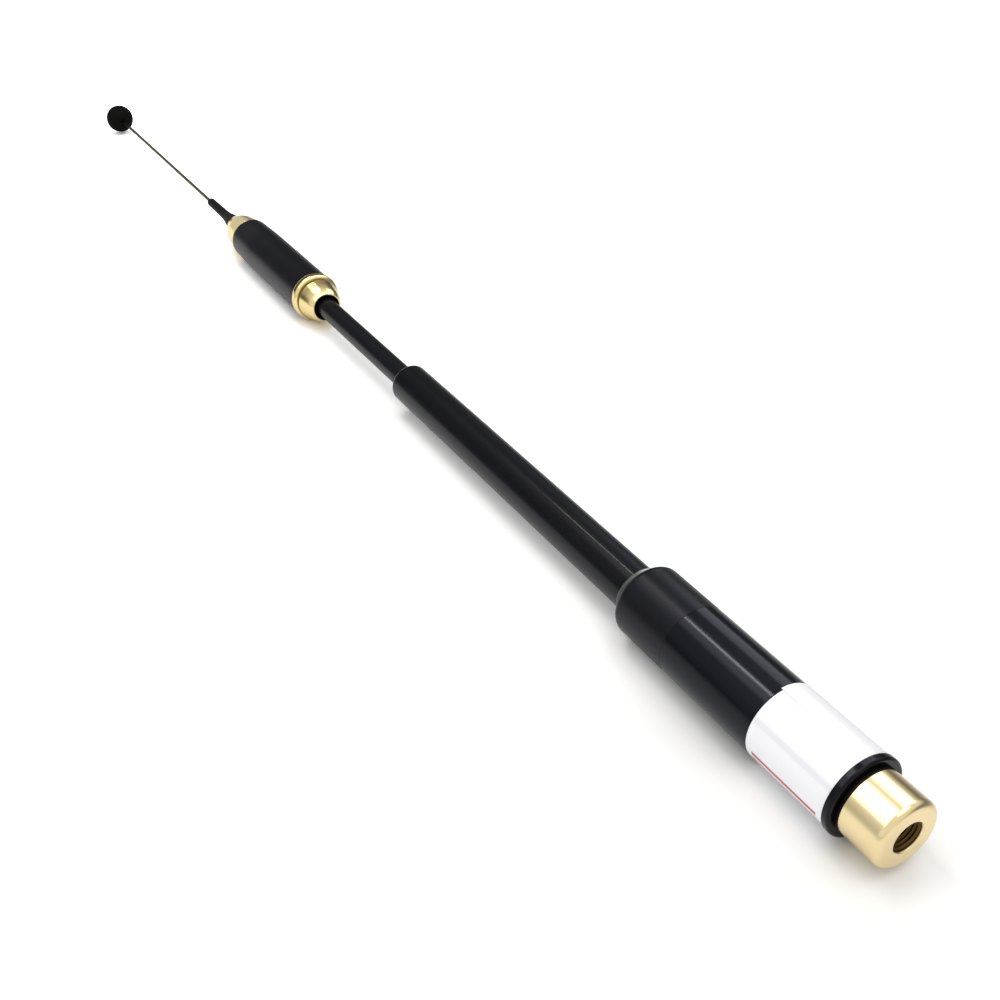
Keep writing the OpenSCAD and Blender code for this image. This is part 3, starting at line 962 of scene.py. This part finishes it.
@dataclass
class BaseGrip:
    """The base with its ring, label, sleeve, neck and ferrule.

    Attributes:
        bore_r: Radius inside the end ring, in mm.
        skin: Thickness of the label and of the sleeve, in mm.
        film: Thickness of the label's overlapping film, in mm.
        film_slip: How far the overlapping film reaches past the film under it, in mm.
        seam: Angle of the film's free edge, in degrees.
        overlap: Angle that the overlapping film covers, in degrees.
        rule_margin: How far the label's rules stay from its ends, in mm.
        neck_round: Rounding of the neck's shoulder, in mm.
        ferrule_lip: Length of the ferrule's slanted lip, in mm.
        tube_gap: Gap round the lower tube, in mm.
    """

    bore_r: float = 5.92
    skin: float = 0.5
    film: float = 0.05
    film_slip: float = 0.45
    seam: float = 84.0
    overlap: float = 172.0
    rule_margin: float = 1.6
    neck_round: float = 1.45
    ferrule_lip: float = 0.25
    tube_gap: float = 0.02

    def label(self) -> Piece:
        """Return the label with its overlapping film."""
        start, end, outer = span_of("label_band")
        under = sleeve("white_label", start, end, outer, outer - self.skin, (0.12, 0.12, 0.0, 0.0))
        over = sleeve("label_overlap", start + self.film_slip, end + self.film_slip, outer + self.film, outer,
                      (0.02, 0.02, 0.0, 0.0))
        LATHE.sector(over, self.seam, self.seam + self.overlap)
        return LATHE.join(under, over)

    def neck(self) -> Piece:
        """Return the neck with its rounded shoulder."""
        start, end, outer = span_of("neck_cap")
        socket_end = end_of("base_tube")
        hole = radius_of("lower_tube") + self.tube_gap
        return LATHE.turn("satin_neck", [
            Turn(start, outer, 0.06),
            Turn(end, outer, self.neck_round),
            Turn(end, hole, 0.08),
            Turn(socket_end, hole),
            Turn(socket_end, outer - self.skin),
            Turn(start, outer - self.skin),
        ])

    def ferrule(self) -> Piece:
        """Return the pale ferrule with its turned lip."""
        start, end, outer = span_of("mouth_ferrule")
        hole = radius_of("lower_tube") + self.tube_gap
        return LATHE.turn("pale_ferrule", [
            Turn(start, outer, 0.1),
            Turn(end - self.ferrule_lip, outer, 0.2),
            Turn(end, outer - self.ferrule_lip, 0.12),
            Turn(end, hole, 0.05),
            Turn(start, hole),
        ])

    def build(self) -> None:
        """Make and place the base's pieces."""
        ring = sleeve("black_end_ring", *span_of("end_ring"), self.bore_r, (0.5, 0.2, 0.0, 0.0))
        settle(ring, Body.BASE, RING_BLACK, "end_ring")
        film = replace(LABEL_FILM, start_x=start_of("label_band") + self.rule_margin,
                       end_x=end_of("label_band") - self.rule_margin)
        settle(self.label(), Body.BASE, film, "label_band")
        gloss = sleeve("glossy_sleeve", *span_of("gloss_sleeve"), radius_of("gloss_sleeve") - self.skin,
                       (0.12, 0.08, 0.0, 0.0))
        settle(gloss, Body.BASE, SLEEVE_BLACK, "gloss_sleeve")
        settle(self.neck(), Body.BASE, SATIN_BLACK, "neck_cap")
        settle(self.ferrule(), Body.BASE, FERRULE, "mouth_ferrule")


@dataclass
class Winding:
    """The wound wire of a coil.

    Attributes:
        node: The winding's node.
        body: The body that it rides on.
        wire: Diameter of the wire, in mm.
        pitch: Length of one turn along the axis, in mm.
        sides: Sides of the wire's section.
    """

    node: str
    body: Body
    wire: float
    pitch: float
    sides: int = 10

    def build(self) -> None:
        """Wind the wire."""
        half = self.wire / 2
        start, end, outer = span_of(self.node)
        wound = LATHE.helix(self.node + "_wire", start + half, end - start - self.wire, outer - half,
                            self.pitch, (half, half), self.sides)
        settle(wound, self.body, COPPER, self.node)


@dataclass
class Tubes:
    """The two black tubes and the bush between them.

    Attributes:
        lower_wall: Wall of the lower tube, in mm.
        lower_round: Rounding of the lower tube's rolled end, in mm.
        upper_wall: Wall of the upper tube, in mm.
        run_gap: Running gap round the upper tube, in mm.
    """

    lower_wall: float = 0.75
    lower_round: float = 0.6
    upper_wall: float = 0.6
    run_gap: float = 0.05

    def build(self) -> None:
        """Make and place the tubes and the bush."""
        lower = sleeve("lower_black_tube", *span_of("lower_tube"), radius_of("lower_tube") - self.lower_wall,
                       (0.1, self.lower_round, 0.08, 0.0))
        lacquer = replace(LOWER_LACQUER, edge_x=end_of("lower_tube") - self.lower_round / 2)
        settle(lower, Body.BASE, lacquer, "lower_tube")
        bush = sleeve("tube_guide_bush", *span_of("tube_end_bush"), radius_of("upper_tube") + self.run_gap,
                      (0.15, 0.05, 0.2, 0.2))
        settle(bush, Body.BASE, SATIN_BLACK, "tube_end_bush")
        upper = sleeve("upper_black_tube", *span_of("upper_tube"), radius_of("upper_tube") - self.upper_wall,
                       (0.1, 0.1, 0.0, 0.0))
        lacquer = replace(UPPER_LACQUER, edge_x=start_of("upper_tube"))
        settle(upper, Body.COIL_SECTION, lacquer, "upper_tube")


@dataclass
class CoilHead:
    """The coil head with its gold collar, black cover, gold cap and wire guide.

    Attributes:
        lip_r: Radius of the collar's front lip, in mm.
        nose_r: Radius of the collar's nose at the groove, in mm.
        nose_len: Length of the nose, in mm.
        brow: Length of the nose's steep brow behind its lip and the radius at its end, in mm.
        cheek: Place of the nose's last bend behind its lip and the radius there, in mm.
        groove_r: Radius at the bottom of the groove, in mm.
        groove_len: Length of the groove, in mm.
        flange_round: Rounding of the flange's front and rear edges, in mm.
        painted_shade_extent: How far past the groove's two ends its painted shade starts and ends, in mm.
        mouth_r: Radius of the collar's mouth, in mm.
        mouth_depth: Depth of the collar's mouth, in mm.
        spigot_r: Radius of the spigots inside the cover, in mm.
        fix_gap: Gap of a fixed joint, in mm.
        run_gap: Running gap round the wire, in mm.
        former_bore_r: Radius of the hole behind the upper tube, in mm.
        cover_taper: Length of the cover's tapered end, in mm.
        cover_end_r: Radius of the cover's tapered end, in mm.
        cap_body: Length of the cap up to its shoulder, in mm.
        cap_shoulder_r: Radius of the cap's shoulder, in mm.
        cap_tip_r: Radius of the cap's tip, in mm.
        guide_r: Radius of the guide, in mm.
        guide_tip_r: Radius of the guide's tip, in mm.
        guide_root_r: Radius of the guide's flared root, in mm.
        guide_flare: Length of the flare, in mm.
        wire_hole_r: Radius of the hole for the wire in the cap, in mm.
    """

    lip_r: float = 4.28
    nose_r: float = 6.2
    nose_len: float = 6.5
    brow: tuple[float, float] = (1.3, 4.98)
    cheek: tuple[float, float] = (3.0, 5.5)
    groove_r: float = 5.4
    groove_len: float = 0.7
    flange_round: tuple[float, float] = (1.1, 0.9)
    painted_shade_extent: tuple[float, float] = (0.03, 0.06)
    mouth_r: float = 3.87
    mouth_depth: float = 3.0
    spigot_r: float = 5.98
    fix_gap: float = 0.02
    run_gap: float = 0.05
    former_bore_r: float = 2.32
    cover_taper: float = 12.0
    cover_end_r: float = 6.5
    cap_body: float = 9.0
    cap_shoulder_r: float = 5.2
    cap_tip_r: float = 2.95
    guide_r: float = 1.55
    guide_tip_r: float = 1.45
    guide_root_r: float = 2.85
    guide_flare: float = 9.0
    wire_hole_r: float = 0.8

    def collar(self) -> Piece:
        """Return the gold collar."""
        lip, tail, outer = span_of("coil_collar")
        flange_end = start_of("coil_cover")
        groove = lip + self.nose_len
        flange = groove + self.groove_len
        tube_r, tube_end = radius_of("upper_tube") + self.fix_gap, end_of("upper_tube")
        return LATHE.turn("gold_coil_collar", [
            Turn(lip, self.lip_r, 0.12),
            Turn(lip + self.brow[0], self.brow[1], 0.75),
            Turn(lip + self.cheek[0], self.cheek[1], 1.2),
            Turn(groove, self.nose_r, 0.3),
            Turn(groove, self.groove_r, 0.08),
            Turn(flange, self.groove_r, 0.08),
            Turn(flange, outer, self.flange_round[0]),
            Turn(flange_end, outer, self.flange_round[1]),
            Turn(flange_end, self.spigot_r),
            Turn(tail, self.spigot_r, 0.15),
            Turn(tail, self.former_bore_r),
            Turn(tube_end, self.former_bore_r),
            Turn(tube_end, tube_r),
            Turn(lip + self.mouth_depth, tube_r),
            Turn(lip + self.mouth_depth, self.mouth_r),
            Turn(lip, self.mouth_r, 0.08),
        ])

    def cover(self) -> Piece:
        """Return the black coil cover."""
        start, end, outer = span_of("coil_cover")
        bore = self.spigot_r + self.fix_gap
        return LATHE.turn("satin_coil_cover", [
            Turn(start, outer, 0.25),
            Turn(end - self.cover_taper, outer, 1.2),
            Turn(end, self.cover_end_r, 0.2),
            Turn(end, bore),
            Turn(start, bore),
        ])

    def cap(self) -> Piece:
        """Return the gold conical cap."""
        front, tip, outer = span_of("coil_cap")
        foot, stem_start = end_of("coil_cover"), start_of("whip_guide")
        stem_r = self.guide_r + self.fix_gap
        return LATHE.turn("gold_coil_cap", [
            Turn(front, self.spigot_r, 0.15),
            Turn(foot, self.spigot_r),
            Turn(foot, outer, 0.25),
            Turn(foot + self.cap_body, self.cap_shoulder_r, 2.0),
            Turn(tip, self.cap_tip_r, 0.2),
            Turn(tip, stem_r),
            Turn(stem_start, stem_r),
            Turn(stem_start, self.wire_hole_r),
            Turn(front, self.wire_hole_r),
        ])

    def guide(self) -> Piece:
        """Return the black guide that the wire leaves by."""
        start, root, tip = start_of("whip_guide"), end_of("coil_cap"), end_of("whip_guide")
        hole = radius_of("whip_wire") + self.run_gap
        return LATHE.turn("black_wire_guide", [
            Turn(start, self.guide_r, 0.1),
            Turn(root, self.guide_r),
            Turn(root, self.guide_root_r, 0.15),
            Turn(root + self.guide_flare, self.guide_r, 3.0),
            Turn(tip, self.guide_tip_r, 0.35),
            Turn(tip, hole, 0.08),
            Turn(start, hole),
        ])

    def build(self) -> None:
        """Make and place the coil head's pieces."""
        groove = start_of("coil_collar") + self.nose_len
        # A band of painted shade over the groove.
        dark_band = (groove + self.painted_shade_extent[0], groove + self.groove_len + self.painted_shade_extent[1])
        plate = replace(COLLAR_GOLD, stretch=dark_band)
        settle(self.collar(), Body.COIL_SECTION, plate, "coil_collar")
        settle(self.cover(), Body.COIL_SECTION, COVER_BLACK, "coil_cover")
        settle(self.cap(), Body.COIL_SECTION, GOLD, "coil_cap")
        settle(self.guide(), Body.COIL_SECTION, GUIDE_BLACK, "whip_guide")


@dataclass
class Whip:
    """The wire and its ball.

    Attributes:
        black_end: Length of the wire's blackened end in front of the ball and in it, in mm.
        socket_gap: Gap round the wire in the ball, in mm.
        lip_r: Radius of the flat round the wire's hole in the ball, in mm.
        lip_depth: Depth of the hole's lip, in mm.
        seam: Height of the ball's moulding line, in mm.
        seam_half: Half the width of the moulding line at its foot, in degrees.
        pole: Angle from the wire to the ball's last ring, in degrees.
        steps: Number of stretches in front of the moulding line and behind it.
    """

    black_end: tuple[float, float] = (9.2, 5.0)
    socket_gap: float = 0.02
    lip_r: float = 1.3
    lip_depth: float = 0.12
    seam: float = 0.03
    seam_half: float = 1.4
    pole: float = 178.0
    steps: tuple[int, int] = (24, 26)

    def wire(self) -> Piece:
        """Return the wire."""
        start, end, outer = span_of("whip_wire")
        return LATHE.turn("whip_spring_wire", [
            Turn(start, 0.0),
            Turn(start, outer, 0.1),
            Turn(end, outer, 0.1),
            Turn(end, 0.0),
        ])

    def ball(self) -> Piece:
        """Return the ball with its socket and its moulding line."""
        _, end, ball_r = span_of("tip_ball")
        centre = end - ball_r
        hole = radius_of("whip_wire") + self.socket_gap
        inner_r = ball_r - self.seam
        first = math.degrees(math.asin(self.lip_r / inner_r))
        face = centre - inner_r * math.cos(math.radians(first))
        return LATHE.turn("matte_tip_ball", [
            Turn(centre, 0.0),
            Turn(centre, hole),
            Turn(face + self.lip_depth, hole, 0.05),
            *arc(centre, inner_r, first, 90 - self.seam_half, self.steps[0]),
            Turn(centre, ball_r),
            *arc(centre, inner_r, 90 + self.seam_half, self.pole, self.steps[1]),
            Turn(centre + inner_r, 0.0),
        ])

    def build(self) -> None:
        """Make and place the whip's pieces."""
        ball = start_of("tip_ball")
        steel = replace(STEEL, stretch=(ball - self.black_end[0], ball + self.black_end[1]))
        settle(self.wire(), Body.WHIP, steel, "whip_wire")
        settle(self.ball(), Body.WHIP, TIP_BLACK, "tip_ball")


@dataclass(frozen=True)
class Lamp:
    """A flat soft lamp that lies along the antenna and faces its axis.

    Attributes:
        name: The lamp's name.
        start: Where it starts along the axis, in mm.
        end: Where it ends along the axis, in mm.
        angle: Its place round the axis, in degrees.
        spread: The angle that it takes up round the axis, in degrees.
        radiance: Its brightness.
        colour: Its colour.
        distance: Its distance from the axis, in mm.
    """

    name: str
    start: float
    end: float
    angle: float
    spread: float
    radiance: float
    colour: Colour = (1.0, 1.0, 1.0)
    distance: float = 620.0

    def build(self) -> None:
        """Make the lamp."""
        light = bpy.data.lights.new(self.name, "AREA")
        light.shape = "RECTANGLE"
        light.size = (self.end - self.start) * MM
        light.size_y = 2 * self.distance * math.tan(math.radians(self.spread / 2)) * MM
        light.energy = self.radiance * math.pi * light.size * light.size_y
        light.color = self.colour
        lamp = bpy.data.objects.new(self.name, light)
        turn = math.radians(self.angle)
        lamp.location = Vector(((self.start + self.end) / 2, self.distance * math.cos(turn),
                                self.distance * math.sin(turn))) * MM
        lamp.rotation_euler = (turn - math.pi / 2, 0.0, 0.0)
        bpy.context.scene.collection.objects.link(lamp)


@dataclass
class Studio:
    """The table, the lamps, the sky and the camera.

    Attributes:
        eye: The camera's place, in mm.
        look: The direction that the camera faces.
        lens: The lens on a 36 mm sensor, in mm.
        floor_size: Side of the table, in mm.
        floor_colour: Colour of the table as it lights the antenna.
        floor_shown: Colour of the table as it is seen.
        floor_shade_close: Darker colour of the table beside the base as it is seen, which paints deeper shade
            into its shadow.
        close_x: Where the table starts and ends to turn from that colour along the antenna, in mm.
        close_reach: How far from the neck's end the table starts and ends to turn from it, in mm.
        floor_lit_far: Brighter colour of the table's far end as it is seen, which paints light over the
            shadows there.
        far_x: Where the table starts and ends to turn to that colour along the antenna, in mm.
        floor_near: Colour of the table as it is seen in the antenna's polish.
        floor_dim: Colour of the table's far side as it is seen in the antenna's polish.
        dim_y: Where the table starts and ends to dim across the antenna, in mm.
        floor_behind: Colour of the table behind the antenna, in its light and in its polish.
        behind_y: Where the table starts and ends to turn to that colour behind the antenna, in mm.
        sun_strength: Strength of the broad sun.
        sun_angle: Width of the broad sun, in degrees.
        sun_from: The direction that the broad sun shines from.
        sky_stops: The sky's brightness, from square on to the antenna to ahead along it.
        wall_stops: How far low walls hide the sky, over the same turn.
        wall_top: The heights between which the walls fade.
        wall: Brightness of the walls.
        side_y: How far to the antenna's back the back wall starts and is full.
        side_top: The heights between which the back wall fades.
        side: Brightness of the back wall.
        glow_from: The direction of a soft glow in the sky.
        glow_edge: The nearness to that direction at which the glow starts and is full.
        glow: Brightness of the glow.
        far_end: The nearness to straight ahead at which the white far end of the table starts and is full.
        far: Brightness of that far end.
        sky_shown: Colour of the sky as the camera sees it.
        lamps: The soft lamps.
    """

    eye: tuple[float, float, float] = (-82.65, 123.35, 153.85)
    look: tuple[float, float, float] = (0.7182, -0.4190, -0.5556)
    lens: float = 44.54
    floor_size: float = 12000.0
    floor_colour: Colour = (0.87, 0.87, 0.87)
    floor_shown: Colour = (1.10, 1.10, 1.09)
    floor_shade_close: Colour = (0.86, 0.86, 0.85)
    close_x: tuple[float, float] = (40.0, 95.0)
    close_reach: tuple[float, float] = (250.0, 500.0)
    floor_lit_far: Colour = (1.97, 1.97, 1.97)
    far_x: tuple[float, float] = (270.0, 400.0)
    floor_near: Colour = (0.80, 0.80, 0.80)
    floor_dim: Colour = (0.46, 0.46, 0.46)
    dim_y: tuple[float, float] = (25.0, 170.0)
    floor_behind: Colour = (0.28, 0.28, 0.28)
    behind_y: tuple[float, float] = (10.0, 70.0)
    sun_strength: float = 0.54
    sun_angle: float = 40.0
    sun_from: tuple[float, float, float] = (-0.20, -0.10, 0.97)
    sky_stops: tuple[tuple[float, float], ...] = ((0.0, 0.90), (0.38, 0.90), (0.46, 0.78), (0.55, 0.58),
                                                  (0.62, 0.36), (0.70, 0.20), (0.80, 0.10))
    wall_stops: tuple[tuple[float, float], ...] = ((0.20, 0.0), (0.40, 0.28), (0.56, 0.88))
    wall_top: tuple[float, float] = (0.08, 0.50)
    wall: Colour = (0.06, 0.06, 0.06)
    side_y: tuple[float, float] = (0.30, 0.70)
    side_top: tuple[float, float] = (0.12, 0.62)
    side: Colour = (0.2, 0.2, 0.2)
    glow_from: tuple[float, float, float] = (0.46, 0.25, 0.852)
    glow_edge: tuple[float, float] = (0.96, 1.0)
    glow: Colour = (3.0, 3.0, 3.0)
    far_end: tuple[float, float] = (0.93, 0.965)
    far: Colour = (0.75, 0.75, 0.75)
    sky_shown: Colour = (1.0, 1.0, 1.0)
    lamps: tuple[Lamp, ...] = (
        Lamp("near_strip", 360.0, 520.0, 86.0, 5.2, 17.0, (1.0, 0.95, 0.84)),
        Lamp("mid_strip", 535.0, 580.0, 93.5, 4.2, 17.0, (1.0, 0.95, 0.86)),
        Lamp("far_strip", 580.0, 690.0, 93.5, 3.0, 12.0, (1.0, 0.95, 0.86)),
        Lamp("front_box", 100.0, 345.0, 58.5, 50.0, 1.75),
        Lamp("back_box", 100.0, 345.0, 124.0, 38.0, 1.75),
        Lamp("blue_box", 345.0, 560.0, 141.0, 30.0, 1.7, (0.90, 0.95, 1.0)),
    )

    def floor(self) -> None:
        """Lay the table under the base and the collar's flange."""
        touch = (end_of("neck_cap"), -radius_of("neck_cap"))
        far = (start_of("coil_cover"), -radius_of("coil_collar"))
        tilt = math.atan2(far[1] - touch[1], far[0] - touch[0])
        bpy.ops.object.select_all(action="DESELECT")
        bpy.ops.mesh.primitive_plane_add(size=self.floor_size * MM, rotation=(0.0, -tilt, 0.0),
                                         location=(touch[0] * MM, 0.0, touch[1] * MM))
        table = bpy.context.object
        table.name = "table"
        shader = Shader("white_table")
        path = "ShaderNodeLightPath"
        along, across = shader.axis("X"), shader.axis("Y")
        place = along + touch[0] * MM
        polish = shader.node(path, output="Is Glossy Ray") + shader.node(path, output="Is Transmission Ray")
        mirrored = shader.mix(shader.span(across, self.dim_y), self.floor_near, self.floor_dim)
        colour = shader.mix(polish, self.floor_colour, mirrored)
        colour = shader.mix(shader.span(0.0 - across, self.behind_y), colour, self.floor_behind)
        # The table is seen darker beside the base, which paints deeper shade into the base's shadow there.
        square = along * along + across * across
        away = shader.span(square.math("SQRT", square), self.close_reach)
        shade_deepened = (1 - shader.span(place, self.close_x)) * (1 - away)
        shown = shader.mix(shade_deepened, self.floor_shown, self.floor_shade_close)
        # The far end of the table is seen brighter, painted light that washes out the shadows there.
        shown = shader.mix(shader.span(place, self.far_x), shown, self.floor_lit_far)
        colour = shader.mix(shader.node(path, output="Is Camera Ray"), colour, shown)
        matt = shader.node("ShaderNodeBsdfDiffuse", None, {"Color": colour})
        shader.feed(shader.tree.nodes["Material Output"].inputs["Surface"], matt)
        table.data.materials.append(shader.material)

    def sky(self) -> None:
        """Give the world bright sides, a dim end ahead, low walls and a glow, and show it white."""
        world = bpy.data.worlds.new("tent")
        bpy.context.scene.world = world
        world.use_nodes = True
        nodes = Nodes(world.node_tree, "Generated")
        ahead, across, up = nodes.axis("X"), nodes.axis("Y"), nodes.axis("Z")
        back = nodes.step(0.0 - across, *self.side_y) * (1 - nodes.step(up, *self.side_top))
        colour = nodes.mix(back, nodes.ramp(ahead, self.sky_stops), self.side)
        low = 1 - nodes.step(up, *self.wall_top)
        colour = nodes.mix(low * nodes.ramp(ahead, self.wall_stops), colour, self.wall)
        glow_x, glow_y, glow_z = self.glow_from
        nearness = ahead * glow_x + across * glow_y + up * glow_z
        colour = nodes.mix(nodes.step(nearness, *self.glow_edge), colour, self.glow)
        colour = nodes.mix(nodes.step(ahead, *self.far_end), colour, self.far)
        seen = nodes.node("ShaderNodeLightPath", output="Is Camera Ray")
        colour = nodes.mix(seen, colour, self.sky_shown)
        nodes.feed(world.node_tree.nodes["Background"].inputs["Color"], colour)

    def sun(self) -> None:
        """Hang the broad sun that lights the whole table evenly."""
        light = bpy.data.lights.new("sun", "SUN")
        light.energy = self.sun_strength
        light.angle = math.radians(self.sun_angle)
        lamp = bpy.data.objects.new("sun", light)
        lamp.rotation_mode = "QUATERNION"
        lamp.rotation_quaternion = (-Vector(self.sun_from)).to_track_quat("-Z", "Y")
        bpy.context.scene.collection.objects.link(lamp)

    def camera(self) -> None:
        """Set up the camera."""
        view = bpy.data.cameras.new("camera")
        view.sensor_width = 36.0
        view.lens = self.lens
        view.clip_start = 10 * MM
        view.clip_end = 2 * self.floor_size * MM
        eye = bpy.data.objects.new("camera", view)
        eye.location = Vector(self.eye) * MM
        eye.rotation_mode = "QUATERNION"
        eye.rotation_quaternion = Vector(self.look).to_track_quat("-Z", "Y")
        bpy.context.scene.collection.objects.link(eye)
        bpy.context.scene.camera = eye

    def build(self) -> None:
        """Set up the whole studio."""
        bpy.context.scene.view_settings.view_transform = "Standard"
        self.camera()
        self.floor()
        self.sky()
        self.sun()
        for lamp in self.lamps:
            lamp.build()


def main() -> None:
    """Build the antenna's looks round its packed construction."""
    logging.basicConfig(level=logging.INFO, format="%(message)s")
    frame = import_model()
    nodes = frame["nodes"]
    Studio().build()
    ConnectorEnd().build()
    BaseGrip().build()
    Winding("matching_winding", Body.BASE, 0.9, 1.3).build()
    Tubes().build()
    CoilHead().build()
    Winding("phasing_winding", Body.COIL_SECTION, 1.0, 1.45).build()
    Whip().build()
    for name, finish in KEPT.items():
        finish.dress(nodes[name])
        LOG.info("%s keeps its shape", name)


if __name__ == "__main__":
    main()
